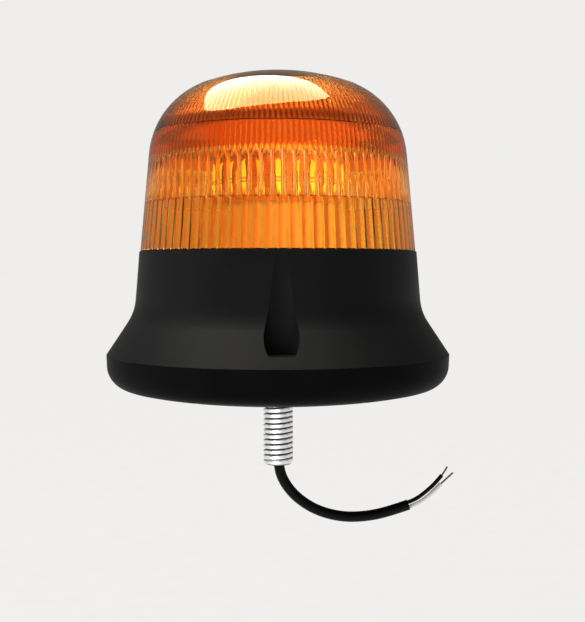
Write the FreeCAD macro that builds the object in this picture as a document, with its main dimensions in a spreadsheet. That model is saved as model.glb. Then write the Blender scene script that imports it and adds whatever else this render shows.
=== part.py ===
import FreeCAD, Part
import math
import os
import Sketcher

# Single-bolt warning beacon: a tapered black housing on a domed base tray, an amber twist-off lens,
# a ring of light-emitting strips on an aluminium tower, and a hollow threaded stud that the supply
# cable leaves through.  Millimetres, +Z up, origin at the centre of the mounting face.  The stud
# points down, and one of the three access wells faces -Y.

DRIVING_SIZES = {
    # housing
    "rim_radius": 80.0,
    "crease_height": 19.0,
    "knee_radius": 67.0,
    "knee_height": 38.6,
    "knee_round": 22.0,
    "collar_radius": 64.7,
    "collar_height": 66.4,
    "housing_wall": 2.8,
    "well_radius": 7.2,
    "well_circle": 71.7,
    "well_floor": 23.7,
    "well_wall": 2.4,
    "well_count": 3,
    "collar_bore": 61.6,
    "ledge_bore": 57.5,
    "ledge_height": 54.9,
    "ledge_thickness": 2.5,
    "bayonet_radius": 63.2,
    "bayonet_floor": 57.0,
    "bayonet_roof": 60.3,
    # base tray
    "rim_drop": 5.1,
    "rim_inset": 0.2,
    "rim_round": 10.9,
    "belly_radius": 71.6,
    "belly_height": 3.65,
    "belly_round": 120.0,
    "tray_flat_radius": 42.9,
    "tray_flat_height": 0.25,
    "tray_wall": 2.8,
    "tray_rim_inner": 74.8,
    "hub_radius": 24.0,
    "hub_height": 16.0,
    "head_seat": 8.0,
    "pad_radius": 42.6,
    "pad_thickness": 3.0,
    "pad_bore": 8.4,
    "tray_screw_circle": 66.0,
    "tray_screw_count": 6,
    "vent_circle": 52.0,
    # fasteners shared by the base, the board and the tower
    "shank_radius": 1.45,
    "pilot_radius": 1.5,
    "clearance_radius": 1.7,
    # stud
    "stud_radius": 7.0,
    "stud_length": 34.0,
    "stud_chamfer": 1.0,
    "stud_shoulder": 7.5,
    "stud_neck": 0.5,
    "stud_bore": 3.1,
    "head_flats": 22.0,
    "seal_height": 4.6,
    "clamp_radius": 22.5,
    "clamp_thickness": 2.0,
    "clamp_screw_circle": 18.5,
    # lens
    "lens_radius": 64.2,
    "lens_foot": 66.5,
    "lens_wall": 2.8,
    "shoulder_radius": 60.0,
    "shoulder_height": 111.55,
    "shoulder_round": 37.7,
    "crown_start_radius": 38.5,
    "crown_start_height": 142.15,
    "lens_top": 149.4,
    "skirt_radius": 61.2,
    "skirt_bore": 58.6,
    "skirt_foot": 57.1,
    "lug_radius": 62.9,
    "lug_height": 2.6,
    "lug_angle": 20.0,
    "entry_angle": 24.0,
    "unlock_angle": 30.0,
    "stop_angle": 3.5,
    "stop_gap": 1.0,
    "lug_azimuth": 60.0,
    # light head
    "deck_radius": 61.0,
    "deck_height": 50.0,
    "deck_thickness": 2.4,
    "tower_radius": 28.0,
    "tower_bore": 20.0,
    "tower_top": 111.0,
    "tower_fin_count": 8,
    "tower_screw_circle": 24.0,
    "deck_screw_circle": 59.5,
    "deck_bore": 14.0,
    "strip_radius": 30.6,
    "strip_width": 2.4,
    "strip_count": 24,
    "strip_turn": -1.1,
    "strip_low": 90.8,
    "strip_split_low": 96.9,
    "strip_split_high": 98.6,
    "strip_high": 107.3,
    "sleeve_radius": 29.4,
    "cap_radius": 31.0,
    "cap_thickness": 3.0,
    # driver
    "board_radius": 45.0,
    "board_height": 38.0,
    "board_thickness": 1.6,
    "board_post_circle": 39.0,
    "terminal_depth": 10.0,
    "terminal_reach": 19.0,
    "terminal_pitch": 2.8,
    # cable
    "cable_diameter": 5.0,
    "core_diameter": 1.9,
    "strand_diameter": 0.9,
    "core_spread": 1.15,
}

# Route points (x, z) of what hangs free, in the plane y = 0.
SHEATH_ROUTE = [(0, -28), (0, -35.5), (2.7, -43.2), (8.9, -50.8), (18.6, -57), (30.8, -60.2),
                (43, -59.8), (53.6, -57.4), (62.3, -54.4)]
BLACK_CORE_ROUTE = [(61.93, -53.31), (65.7, -52.0), (71.2, -47.8), (75.4, -43.9), (78.3, -40.3)]
WHITE_CORE_ROUTE = [(62.69, -55.5), (66.4, -54.2), (71.4, -50.9), (75.2, -47.2), (77.9, -44.4)]
BLACK_STRAND_ROUTE = [(78.3, -40.3), (79.7, -38.5), (80.9, -36.2)]
WHITE_STRAND_ROUTE = [(77.9, -44.4), (80.6, -42.0), (83.7, -39.1)]

doc = FreeCAD.newDocument("warning_beacon")
sheet = doc.addObject("Spreadsheet::Sheet", "Sizes")
for row, (alias, number) in enumerate(DRIVING_SIZES.items(), start=1):
    sheet.set(f"A{row}", alias)
    sheet.set(f"B{row}", str(number))
    sheet.setAlias(f"B{row}", alias)
doc.recompute()


class Size:
    """A length or angle: its number now, and the sheet expression that gives it."""

    def __init__(self, value, text):
        self.value = float(value)
        self.text = text

    def __add__(self, other):
        other = as_size(other)
        return Size(self.value + other.value, f"({self.text} + {other.text})")

    def __sub__(self, other):
        other = as_size(other)
        return Size(self.value - other.value, f"({self.text} - {other.text})")

    def __mul__(self, other):
        other = as_size(other)
        return Size(self.value * other.value, f"({self.text} * {other.text})")

    def __truediv__(self, other):
        other = as_size(other)
        return Size(self.value / other.value, f"({self.text} / {other.text})")

    def __radd__(self, other):
        return as_size(other) + self

    def __rsub__(self, other):
        return as_size(other) - self

    def __rmul__(self, other):
        return as_size(other) * self

    def __neg__(self):
        return as_size(0) - self


def as_size(number):
    return number if isinstance(number, Size) else Size(number, repr(float(number)))


def size(alias):
    """The named cell of the sheet."""
    return Size(sheet.get(alias), f"Sizes.{alias}")


def cosine(degrees):
    degrees = as_size(degrees)
    return Size(math.cos(math.radians(degrees.value)), f"cos({degrees.text} * 1 deg)")


def sine(degrees):
    degrees = as_size(degrees)
    return Size(math.sin(math.radians(degrees.value)), f"sin({degrees.text} * 1 deg)")


def at_angle(radius, degrees):
    """The point at this radius and azimuth."""
    return (as_size(radius) * cosine(degrees), as_size(radius) * sine(degrees))


def bind(thing, name, number):
    """Set a feature's property from the sheet."""
    setattr(thing, name, as_size(number).value)
    thing.setExpression(name, as_size(number).text)


# ---- sketches -----------------------------------------------------------------------------------

def new_body(label):
    body = doc.addObject("PartDesign::Body", label)
    body.Label = label
    return body


def origin_feature(body, role):
    return next(f for f in body.Origin.OriginFeatures if f.Role == role)


def new_sketch(body, name, plane="XZ_Plane", height=0):
    """A sketch on one of the body's own planes, raised along that plane's normal."""
    sketch = body.newObject("Sketcher::SketchObject", name)
    sketch.AttachmentSupport = (origin_feature(body, plane), [""])
    sketch.MapMode = "FlatFace"
    if isinstance(height, Size) or height:
        sketch.AttachmentOffset = FreeCAD.Placement(
            FreeCAD.Vector(0, 0, as_size(height).value), FreeCAD.Rotation())
        sketch.setExpression("AttachmentOffset.Base.z", as_size(height).text)
    return sketch


def hold_number(sketch, kind, *parts):
    """A dimension bound to the sheet; the last of its parts is the Size."""
    *ends, number = parts
    number = as_size(number)
    index = sketch.addConstraint(Sketcher.Constraint(kind, *ends, number.value))
    sketch.setExpression(f"Constraints[{index}]", number.text)


def hold_point(sketch, side, end, point):
    """Place one end of a side, or a centre, from the sketch's origin; the sketch's own dimensions are
    never negative, so a negative place swaps the two ends that it is measured between."""
    for kind, axis, number in (("DistanceX", -2, point[0]), ("DistanceY", -1, point[1])):
        number = as_size(number)
        if abs(number.value) < 1e-9:
            sketch.addConstraint(Sketcher.Constraint("PointOnObject", side, end, axis))
        elif number.value > 0:
            hold_number(sketch, kind, -1, 1, side, end, number)
        else:
            hold_number(sketch, kind, side, end, -1, 1, -number)


def arc_between(start, end, radius):
    """The short arc of this radius; a positive one bulges to the right of the way from start to end."""
    chord = end - start
    right = FreeCAD.Vector(chord.y, -chord.x, 0).normalize()
    rise = abs(radius) - math.sqrt(radius * radius - chord.Length ** 2 / 4)
    middle = (start + end) / 2 + right * math.copysign(rise, radius)
    return Part.Arc(start, middle, end)


def draw_outline(sketch, corners, rounds=None):
    """Close a loop through the corners; rounds gives each curved side's radius by its number."""
    rounds = rounds or {}
    points = [FreeCAD.Vector(as_size(x).value, as_size(y).value, 0) for x, y in corners]
    sides = []
    for number, start in enumerate(points):
        end = points[(number + 1) % len(points)]
        if number in rounds:
            shape = arc_between(start, end, as_size(rounds[number]).value)
        else:
            shape = Part.LineSegment(start, end)
        side = sketch.addGeometry(shape, False)
        forward = sketch.getPoint(side, 1).distanceToPoint(start) < 1e-6
        sides.append((side, 1 if forward else 2, 2 if forward else 1))
    for number, (side, first, last) in enumerate(sides):
        next_side, next_first, _ = sides[(number + 1) % len(sides)]
        sketch.addConstraint(Sketcher.Constraint("Coincident", side, last, next_side, next_first))
        hold_point(sketch, side, first, corners[number])
        if number in rounds:
            radius = as_size(rounds[number])
            hold_number(sketch, "Radius", side, radius if radius.value > 0 else -radius)


def draw_circle(sketch, centre, radius):
    middle = FreeCAD.Vector(as_size(centre[0]).value, as_size(centre[1]).value, 0)
    circle = Part.Circle(middle, FreeCAD.Vector(0, 0, 1), as_size(radius).value)
    ring = sketch.addGeometry(circle, False)
    hold_point(sketch, ring, 3, centre)
    hold_number(sketch, "Radius", ring, radius)


# ---- features -----------------------------------------------------------------------------------

def turned(body, name, corners, rounds=None, kind="Revolution"):
    """A full turn about Z of an outline in the plane y = 0; kind Groove removes it."""
    sketch = new_sketch(body, f"{name}_outline")
    draw_outline(sketch, corners, rounds)
    before = volume_of(body)
    feature = body.newObject(f"PartDesign::{kind}", name)
    feature.Profile = sketch
    feature.ReferenceAxis = (sketch, ["V_Axis"])
    feature.Angle = 360
    return settled(body, feature, before, kind == "Revolution")


def raised(body, name, low, high, circles=(), outlines=(), kind="Pad"):
    """Straight up between two heights from circles (centre, radius) and outlines (corners, rounds)."""
    cut = kind == "Pocket"
    sketch = new_sketch(body, f"{name}_outline", "XY_Plane", high if cut else low)
    for centre, radius in circles:
        draw_circle(sketch, centre, radius)
    for corners, rounds in outlines:
        draw_outline(sketch, corners, rounds)
    before = volume_of(body)
    feature = body.newObject(f"PartDesign::{kind}", name)
    feature.Profile = sketch
    bind(feature, "Length", as_size(high) - low)
    return settled(body, feature, before, not cut)


def repeated(body, name, features, count):
    """Copies of the features about Z, evenly over a full turn."""
    pattern = body.newObject("PartDesign::PolarPattern", name)
    pattern.Originals = features
    pattern.Axis = (origin_feature(body, "Z_Axis"), [""])
    pattern.Angle = 360
    pattern.Occurrences = int(as_size(count).value)
    if isinstance(count, Size):
        pattern.setExpression("Occurrences", count.text)
    body.Tip = pattern
    doc.recompute()
    return pattern


def volume_of(body):
    return body.Shape.Volume if body.Tip and not body.Shape.isNull() else 0.0


def settled(body, feature, before, adds):
    """Recompute, and stop unless the feature added or removed material as it should."""
    body.Tip = feature
    doc.recompute()
    change = body.Shape.Volume - before
    if (change > 0) != adds or abs(change) < 1e-3:
        raise RuntimeError(f"{feature.Name} changed the volume by {change:.3f}")
    return feature


def ring_sector(inner, outer, middle_angle, angle):
    """Corners and rounds of a piece of a ring."""
    low = as_size(middle_angle) - as_size(angle) / 2
    high = as_size(middle_angle) + as_size(angle) / 2
    corners = [at_angle(inner, low), at_angle(outer, low), at_angle(outer, high), at_angle(inner, high)]
    return corners, {1: as_size(outer), 3: -as_size(inner)}


def box_corners(x_low, x_high, y_low, y_high):
    return [(x_low, y_low), (x_high, y_low), (x_high, y_high), (x_low, y_high)], None


def hexagon(flats):
    radius = as_size(flats) / math.sqrt(3)
    return [at_angle(radius, 30 + 60 * k) for k in range(6)], None


def screw_group(label, circle, count, first_angle, head, shank):
    """Identical screws on a circle: head and shank are (low, high, radius)."""
    body = new_body(label)
    centre = at_angle(circle, first_angle)
    parts = [raised(body, f"{label}_shank", shank[0], shank[1], [(centre, shank[2])]),
             raised(body, f"{label}_head", head[0], head[1], [(centre, head[2])])]
    return repeated(body, f"{label}_set", parts, count)


# ---- housing and base ---------------------------------------------------------------------------

def outer_wall():
    """The housing's outer side from the crease up: flare, knee and tapered wall."""
    rim, crease = size("rim_radius"), size("crease_height")
    knee_r, knee_z = size("knee_radius"), size("knee_height")
    collar_r, collar_z = size("collar_radius"), size("collar_height")
    flare = math.atan2(knee_r.value - rim.value, knee_z.value - crease.value)
    taper = math.atan2(collar_r.value - knee_r.value, collar_z.value - knee_z.value)
    reach = size("knee_round") * math.tan((taper - flare) / 2)
    low = (knee_r - reach * math.sin(flare), knee_z - reach * math.cos(flare))
    high = (knee_r + reach * math.sin(taper), knee_z + reach * math.cos(taper))
    return [(rim, crease), low, high, (collar_r, collar_z)]


def housing():
    body = new_body("housing")
    wall, collar_z = size("housing_wall"), size("collar_height")
    crease, ledge_z = size("crease_height"), size("ledge_height")
    outside = outer_wall()
    turned(body, "housing_form", [(0, crease), *outside, (0, collar_z)], {2: -size("knee_round")})
    slant = wall * 1.2
    inside = [(0, crease), (outside[0][0] - slant, crease), (outside[1][0] - slant, outside[1][1]),
              (outside[2][0] - wall, outside[2][1]),
              (outside[2][0] - wall - 1.0, ledge_z - size("ledge_thickness")),
              (size("ledge_bore"), ledge_z - size("ledge_thickness")),
              (size("ledge_bore"), ledge_z), (size("collar_bore"), ledge_z),
              (size("collar_bore"), collar_z), (0, collar_z)]
    turned(body, "housing_cavity", inside, {2: -(size("knee_round") + wall)}, "Groove")

    centre = at_angle(size("well_circle"), -90)
    well_tube = raised(body, "well_tube", size("well_floor") - size("well_wall"), ledge_z,
                       [(centre, size("well_radius") + size("well_wall"))])
    repeated(body, "well_tubes", [well_tube], size("well_count"))
    boss_centre = at_angle(size("tray_screw_circle"), 0)
    boss = raised(body, "screw_boss", size("head_seat"), size("knee_height") - 4, [(boss_centre, 4.4)])
    repeated(body, "screw_bosses", [boss], size("tray_screw_count"))
    beyond = size("rim_radius") + 12
    turned(body, "outside_trim", [*outside, (beyond, collar_z), (beyond, crease)],
           {1: -size("knee_round")}, "Groove")
    well = raised(body, "access_well", size("well_floor"), collar_z + 1,
                  [(centre, size("well_radius"))], kind="Pocket")
    repeated(body, "access_wells", [well], size("well_count"))
    pilot = raised(body, "screw_pilot", size("head_seat"), size("head_seat") + 14,
                   [(boss_centre, size("pilot_radius"))], kind="Pocket")
    repeated(body, "screw_pilots", [pilot], size("tray_screw_count"))

    groove_in, groove_out = size("collar_bore") - 0.5, size("bayonet_radius")
    low, high = size("bayonet_floor"), size("bayonet_roof")
    turned(body, "bayonet_track", [(groove_in, low), (groove_out, low), (groove_out, high),
                                   (groove_in, high)], None, "Groove")
    unlocked = size("lug_azimuth") + size("unlock_angle")
    entry = raised(body, "bayonet_entry", high - 0.5, collar_z + 1, outlines=[
        ring_sector(groove_in, groove_out, unlocked, size("entry_angle"))], kind="Pocket")
    repeated(body, "bayonet_entries", [entry], 3)
    reach = (size("lug_angle") + size("stop_angle")) / 2 + size("stop_gap")
    stops = [raised(body, name, low, high - 0.6, outlines=[
        ring_sector(size("collar_bore"), groove_out + 0.4, azimuth, size("stop_angle"))])
        for name, azimuth in (("locked_stop", size("lug_azimuth") - reach),
                              ("unlocked_stop", unlocked + reach + 1.5))]
    repeated(body, "bayonet_stops", stops, 3)
    return body


def belly():
    """The tray's underside from the crease down to the flat."""
    rim, crease = size("rim_radius"), size("crease_height")
    return [(size("tray_flat_radius"), size("tray_flat_height")),
            (size("belly_radius"), size("belly_height")),
            (rim - size("rim_inset"), crease - size("rim_drop")), (rim, crease)]


def base_tray():
    body = new_body("base_tray")
    crease, wall = size("crease_height"), size("tray_wall")
    flat, belly_low, rim_low, rim_top = belly()
    rim_in = size("tray_rim_inner")
    floor = size("pad_thickness") + wall
    inside = [(rim_in, crease), (rim_in, rim_low[1] - 3), (belly_low[0] - 2, belly_low[1] + wall),
              (size("tray_flat_radius"), floor - 0.6), (size("hub_radius"), floor - 0.6),
              (size("hub_radius"), size("hub_height")), (0, size("hub_height"))]
    turned(body, "tray_form", [(0, flat[1]), flat, belly_low, rim_low, rim_top, *inside],
           {1: size("belly_round"), 2: size("rim_round")})
    seal_in, seal_out = rim_in + 1.5, rim_in + 3.1
    turned(body, "seal_channel", [(seal_in, crease - 1.4), (seal_out, crease - 1.4),
                                  (seal_out, crease), (seal_in, crease)], None, "Groove")
    lip_in, lip_out = rim_in - 2.2, rim_in
    turned(body, "locating_lip", [(lip_in, rim_low[1] - 2), (lip_out + 0.4, rim_low[1] - 2),
                                  (lip_out + 0.4, crease - 1), (lip_out - 0.2, crease),
                                  (lip_out - 0.8, crease + 1.6), (lip_in, crease + 1.6)])
    turned(body, "pad_recess", [(0, 0), (size("pad_radius") + 0.1, 0),
                                (size("pad_radius") + 0.1, size("pad_thickness")),
                                (0, size("pad_thickness"))], None, "Groove")
    raised(body, "stud_hole", 0, size("hub_height"), [((0, 0), size("stud_shoulder") + 0.1)],
           kind="Pocket")
    raised(body, "seal_seat", size("pad_thickness") - 1, size("seal_height"), [((0, 0), 9.1)],
           kind="Pocket")
    raised(body, "head_pocket", size("head_seat"), size("hub_height"),
           outlines=[hexagon(size("head_flats") + 0.3)], kind="Pocket")
    clamp_centre = at_angle(size("clamp_screw_circle"), 0)
    clamp_hole = raised(body, "clamp_hole", size("hub_height") - 8, size("hub_height"),
                        [(clamp_centre, size("pilot_radius"))], kind="Pocket")
    repeated(body, "clamp_holes", [clamp_hole], 4)

    screw_centre = at_angle(size("tray_screw_circle"), 0)
    post = raised(body, "screw_post", belly_low[1], size("head_seat"), [(screw_centre, 6)])
    repeated(body, "screw_posts", [post], size("tray_screw_count"))
    head_room = raised(body, "head_room", 0, size("head_seat") - 3, [(screw_centre, 3.6)], kind="Pocket")
    shank_room = raised(body, "shank_room", size("head_seat") - 4, size("head_seat"),
                        [(screw_centre, 1.8)], kind="Pocket")
    repeated(body, "screw_rooms", [head_room, shank_room], size("tray_screw_count"))
    vent_centre = at_angle(size("vent_circle"), 60)
    raised(body, "vent_hole", 0, floor, [(vent_centre, 3.05)], kind="Pocket")
    raised(body, "vent_seat", floor - 0.6, floor + 2, [(vent_centre, 5.2)], kind="Pocket")
    return body


def tray_seal():
    body = new_body("tray_seal")
    rim_in, top = size("tray_rim_inner"), size("crease_height") - 0.02
    turned(body, "seal_ring", [(rim_in + 1.55, top - 1.34), (rim_in + 3.05, top - 1.34),
                               (rim_in + 3.05, top), (rim_in + 1.55, top)])
    return body


def mounting_pad():
    body = new_body("mounting_pad")
    radius, bore, top = size("pad_radius"), size("pad_bore"), size("pad_thickness")
    turned(body, "pad_ring", [(bore, 0), (radius - 0.6, 0), (radius, 0.6), (radius, top), (bore, top)])
    return body


def vent_plug():
    body = new_body("vent_plug")
    centre = at_angle(size("vent_circle"), 60)
    floor = size("pad_thickness") + size("tray_wall")
    raised(body, "vent_barrel", 1.0, floor - 0.6, [(centre, 3.0)])
    raised(body, "vent_flange", floor - 0.6, floor + 1.4, [(centre, 5.0)])
    return body


def stud():
    """Hollow fixing stud: chamfered end, threaded length as its outside cylinder, shoulder and hex head."""
    body = new_body("stud")
    radius, bore, end = size("stud_radius"), size("stud_bore"), -size("stud_length")
    chamfer, shoulder = size("stud_chamfer"), size("stud_shoulder")
    seat = size("head_seat")
    neck = size("stud_neck")
    turned(body, "stud_shank", [(bore, end), (radius - chamfer, end), (radius, end + chamfer),
                                (radius, neck), (shoulder, neck), (shoulder, seat), (bore, seat)])
    raised(body, "stud_head", seat, size("hub_height"), [((0, 0), bore)],
           [hexagon(size("head_flats"))])
    return body


def stud_seal():
    body = new_body("stud_seal")
    inner, outer = size("stud_shoulder") + 0.05, 9.05
    low, high = size("pad_thickness") + 0.05, size("seal_height") - 0.05
    turned(body, "stud_seal_ring", [(inner, low), (outer, low), (outer, high), (inner, high)])
    return body


def clamp_plate():
    body = new_body("clamp_plate")
    low = size("hub_height")
    high = low + size("clamp_thickness")
    raised(body, "clamp_disc", low, high, [((0, 0), size("clamp_radius")), ((0, 0), 5.1)])
    hole = raised(body, "clamp_disc_hole", low, high,
                  [(at_angle(size("clamp_screw_circle"), 0), size("clearance_radius"))], kind="Pocket")
    repeated(body, "clamp_disc_holes", [hole], 4)
    return body


def cable_grommet():
    body = new_body("cable_grommet")
    inner, low = size("cable_diameter") / 2 + 0.02, size("hub_height")
    high = low + size("clamp_thickness")
    turned(body, "grommet_form", [(inner, low + 0.05), (5.0, low + 0.05), (5.0, high + 0.05),
                                  (6.4, high + 0.05), (5.6, high + 2.2), (inner, high + 2.2)])
    return body


def cable_tie():
    body = new_body("cable_tie")
    inner, low = size("cable_diameter") / 2 + 0.02, size("hub_height") + size("clamp_thickness") + 2.4
    turned(body, "tie_band", [(inner, low), (inner + 1.2, low), (inner + 1.2, low + 2.5),
                              (inner, low + 2.5)])
    raised(body, "tie_lock", low - 0.2, low + 2.8, outlines=[
        box_corners(inner + 0.3, inner + 4.2, -2.2, 2.2)])
    return body


def cable_inner():
    """The sheathed cable inside the stud, up to where its cores part."""
    body = new_body("cable_inner")
    raised(body, "cable_core_run", SHEATH_ROUTE[0][1], 26, [((0, 0), size("cable_diameter") / 2)])
    return body


# ---- light head and driver ----------------------------------------------------------------------

def deck():
    """The plate that closes the housing's top and carries the tower."""
    body = new_body("deck")
    low = size("deck_height")
    high = low + size("deck_thickness") - 0.02
    raised(body, "deck_disc", low, high, [((0, 0), size("deck_radius")), ((0, 0), size("deck_bore"))])
    screw_centre = at_angle(size("deck_screw_circle"), 60)
    screw = raised(body, "deck_hole", low, high, [(screw_centre, 1.6)], kind="Pocket")
    repeated(body, "deck_holes", [screw], 3)
    foot_centre = at_angle(size("tower_screw_circle"), 60)
    foot = raised(body, "tower_hole", low, high, [(foot_centre, size("clearance_radius"))], kind="Pocket")
    repeated(body, "tower_holes", [foot], 3)
    return body


def light_tower():
    body = new_body("light_tower")
    low, top = size("deck_height") + size("deck_thickness"), size("tower_top")
    radius, bore = size("tower_radius"), size("tower_bore")
    raised(body, "tower_tube", low, top, [((0, 0), radius), ((0, 0), bore)])
    fin = raised(body, "tower_fin", low, top - 6, outlines=[box_corners(9, bore + 1, -0.9, 0.9)])
    repeated(body, "tower_fins", [fin], size("tower_fin_count"))
    centre = at_angle(size("tower_screw_circle"), 60)
    foot = raised(body, "foot_pilot", low, low + 9, [(centre, size("pilot_radius"))], kind="Pocket")
    head = raised(body, "cap_pilot", top - 8, top, [(centre, 1.25)], kind="Pocket")
    repeated(body, "tower_pilots", [foot, head], 3)
    raised(body, "lead_notch", top - 7, top, outlines=[box_corners(-3.5, 3.5, bore - 2, radius + 1)],
           kind="Pocket")
    return body


def strip_board():
    body = new_body("strip_board")
    low, high = size("strip_low") - 2.5, size("strip_high") + 2.5
    raised(body, "board_sleeve", low, high,
           [((0, 0), size("sleeve_radius")), ((0, 0), size("tower_radius") + 0.1)])
    return body


def light_strips():
    """Rows of emitters in two tiers with a bridge between them, evenly round the sleeve."""
    body = new_body("light_strips")
    inner, outer = size("sleeve_radius"), size("strip_radius")
    half = size("strip_width") / 2
    turn = size("strip_turn") - 90
    tiers = [("lower", size("strip_low"), size("strip_split_low"), outer),
             ("bridge", size("strip_split_low") + 0.3, size("strip_split_high") - 0.3, outer - 0.3),
             ("upper", size("strip_split_high"), size("strip_high"), outer)]
    parts = []
    for name, low, high, reach in tiers:
        corners = [(along * cosine(turn) - side * sine(turn), along * sine(turn) + side * cosine(turn))
                   for along, side in ((inner, -half), (reach, -half), (reach, half), (inner, half))]
        parts.append(raised(body, f"strip_{name}", low, high, outlines=[(corners, None)]))
    repeated(body, "strip_ring", parts, size("strip_count"))
    return body


def tower_cap():
    body = new_body("tower_cap")
    low = size("tower_top")
    radius, high = size("cap_radius"), size("tower_top") + size("cap_thickness")
    turned(body, "cap_form", [(0, low), (radius, low), (radius, high - 1), (radius - 1, high), (0, high)])
    centre = at_angle(size("tower_screw_circle"), 60)
    hole = raised(body, "cap_hole", low, high, [(centre, 1.6)], kind="Pocket")
    repeated(body, "cap_holes", [hole], 3)
    return body


def driver_board():
    body = new_body("driver_board")
    low = size("board_height")
    high = low + size("board_thickness")
    raised(body, "board_disc", low, high, [((0, 0), size("board_radius"))])
    hole_centre = at_angle(size("board_post_circle"), 45)
    hole = raised(body, "board_hole", low, high, [(hole_centre, size("clearance_radius"))],
                  kind="Pocket")
    repeated(body, "board_holes", [hole], 4)
    return body


def board_posts():
    body = new_body("board_posts")
    low, high = size("board_height") + size("board_thickness"), size("deck_height")
    centre = at_angle(size("board_post_circle"), 45)
    post = raised(body, "post", low, high, [(centre, 3.0), (centre, size("pilot_radius"))])
    repeated(body, "posts", [post], 4)
    return body


def blocks_on_board(label, height, circles=(), boxes=(), below=True):
    """Components standing on one face of the driver board, one pad a piece."""
    body = new_body(label)
    board = size("board_height")
    low = board - height if below else board + size("board_thickness")
    high = board if below else low + height
    for number, circle in enumerate(circles):
        raised(body, f"{label}_{number}", low, high, [circle])
    for number, sides in enumerate(boxes):
        raised(body, f"{label}_box_{number}", low, high, outlines=[box_corners(*sides)])
    return body


def terminal_block():
    """A two-way block under the board, with a screw over each core."""
    depth, reach = size("terminal_depth"), size("terminal_reach")
    body = blocks_on_board("terminal_block", depth, boxes=[(-6, 6, reach - 5, reach + 5)])
    low = size("board_height") - depth
    for side, number in (("left", -1), ("right", 1)):
        raised(body, f"screw_well_{side}", low, low + 4,
               [((size("terminal_pitch") * number, reach), 1.9)], kind="Pocket")
    return body


def terminal_screws():
    body = new_body("terminal_screws")
    low = size("board_height") - size("terminal_depth")
    for side, number in (("left", -1), ("right", 1)):
        raised(body, f"terminal_screw_{side}", low + 1.2, low + 4,
               [((size("terminal_pitch") * number, size("terminal_reach")), 1.8)])
    return body


# ---- lens ---------------------------------------------------------------------------------------

def cap_round(edge, top):
    """The radius of a spherical cap, centred on the axis, from its edge point and its top."""
    rise = top - edge[1]
    return (edge[0] * edge[0] + rise * rise) / (rise * 2)


def lens():
    """Dome, skirt and three bayonet lugs in one moulding."""
    body = new_body("lens")
    wall, foot, skirt_foot = size("lens_wall"), size("lens_foot"), size("skirt_foot")
    skirt_r, skirt_in = size("skirt_radius"), size("skirt_bore")
    shoulder = (size("shoulder_radius"), size("shoulder_height"))
    crown = (size("crown_start_radius"), size("crown_start_height"))
    top = size("lens_top")
    turned(body, "lens_form",
           [(0, skirt_foot), (skirt_r, skirt_foot), (skirt_r, foot), (size("lens_radius"), foot),
            shoulder, crown, (0, top)],
           {4: size("shoulder_round"), 5: cap_round(crown, top)})
    crown_lean = math.atan2(crown[0].value, cap_round(crown, top).value - (top - crown[1]).value)
    crown_inner = (crown[0] - wall * math.sin(crown_lean), crown[1] - wall * math.cos(crown_lean))
    turned(body, "lens_cavity",
           [(0, skirt_foot), (skirt_in, skirt_foot), (skirt_in, foot - 1),
            (size("lens_radius") - wall, foot + 1), (shoulder[0] - wall, shoulder[1]), crown_inner,
            (0, top - wall)],
           {4: size("shoulder_round") - wall, 5: cap_round(crown_inner, top - wall)}, "Groove")
    lug = raised(body, "lens_lug", skirt_foot, skirt_foot + size("lug_height"), outlines=[
        ring_sector(skirt_in + 0.5, size("lug_radius"), size("lug_azimuth"), size("lug_angle"))])
    repeated(body, "lens_lugs", [lug], 3)
    return body


def lens_gasket():
    body = new_body("lens_gasket")
    low, high = size("ledge_height"), size("skirt_foot") - 0.15
    turned(body, "gasket_ring", [(size("skirt_bore") - 0.4, low), (size("collar_bore") - 0.1, low),
                                 (size("collar_bore") - 0.1, high), (size("skirt_bore") - 0.4, high)])
    return body


# ---- cables -------------------------------------------------------------------------------------

def tube(label, points, diameter):
    """A round tube along straight runs joined by tangent arcs."""
    points = [FreeCAD.Vector(*point) for point in points]
    edges, radii, start = [], [], points[0]
    for before, corner, after in zip(points, points[1:], points[2:]):
        run_in, run_out = (before - corner).Length, (after - corner).Length
        back, on = (before - corner).normalize(), (after - corner).normalize()
        turn = math.pi - back.getAngle(on)
        reach = 0.45 * min(run_in, run_out)
        radius = reach / math.tan(turn / 2)
        first, last = corner + back * reach, corner + on * reach
        centre = corner + (back + on).normalize() * (radius / math.cos(turn / 2))
        middle = centre + (corner - centre).normalize() * radius
        edges += [Part.LineSegment(start, first).toShape(), Part.Arc(first, middle, last).toShape()]
        radii.append(round(radius, 1))
        start = last
    edges.append(Part.LineSegment(start, points[-1]).toShape())
    path = Part.Wire(edges)
    section = Part.Circle(points[0], points[1] - points[0], diameter / 2).toShape()
    solid = path.makePipeShell([Part.Wire([section])], True, True)
    expected = math.pi * diameter ** 2 / 4 * path.Length
    print(f"{label}: length {path.Length:.1f}, bend radii {radii}, "
          f"volume {solid.Volume:.1f} of {expected:.1f}")
    if abs(solid.Volume / expected - 1) > 0.01:
        raise RuntimeError(f"{label} has the wrong volume")
    return solid


def solids_feature(label, solids):
    """A plain feature that holds one or more ready solids."""
    feature = doc.addObject("Part::Feature", label)
    feature.Label = label
    feature.Shape = solids[0] if len(solids) == 1 else Part.makeCompound(solids)
    feature.Placement = FreeCAD.Placement()
    return feature


def free_tube(label, route, diameter):
    return solids_feature(label, [tube(label, [(x, 0, z) for x, z in route], diameter)])


def supply_core(label, side):
    """One core from the end of the inner sheath into the terminal block."""
    spread, diameter = size("core_spread").value, size("core_diameter").value
    route = [(side * spread, 0, 26), (side * spread, 0, 29.5), (side * 1.8, 4.5, 32.5),
             (side * 2.8, 9.5, 33), (side * 2.8, 14, 33)]
    return solids_feature(label, [tube(label, route, diameter)])


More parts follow.
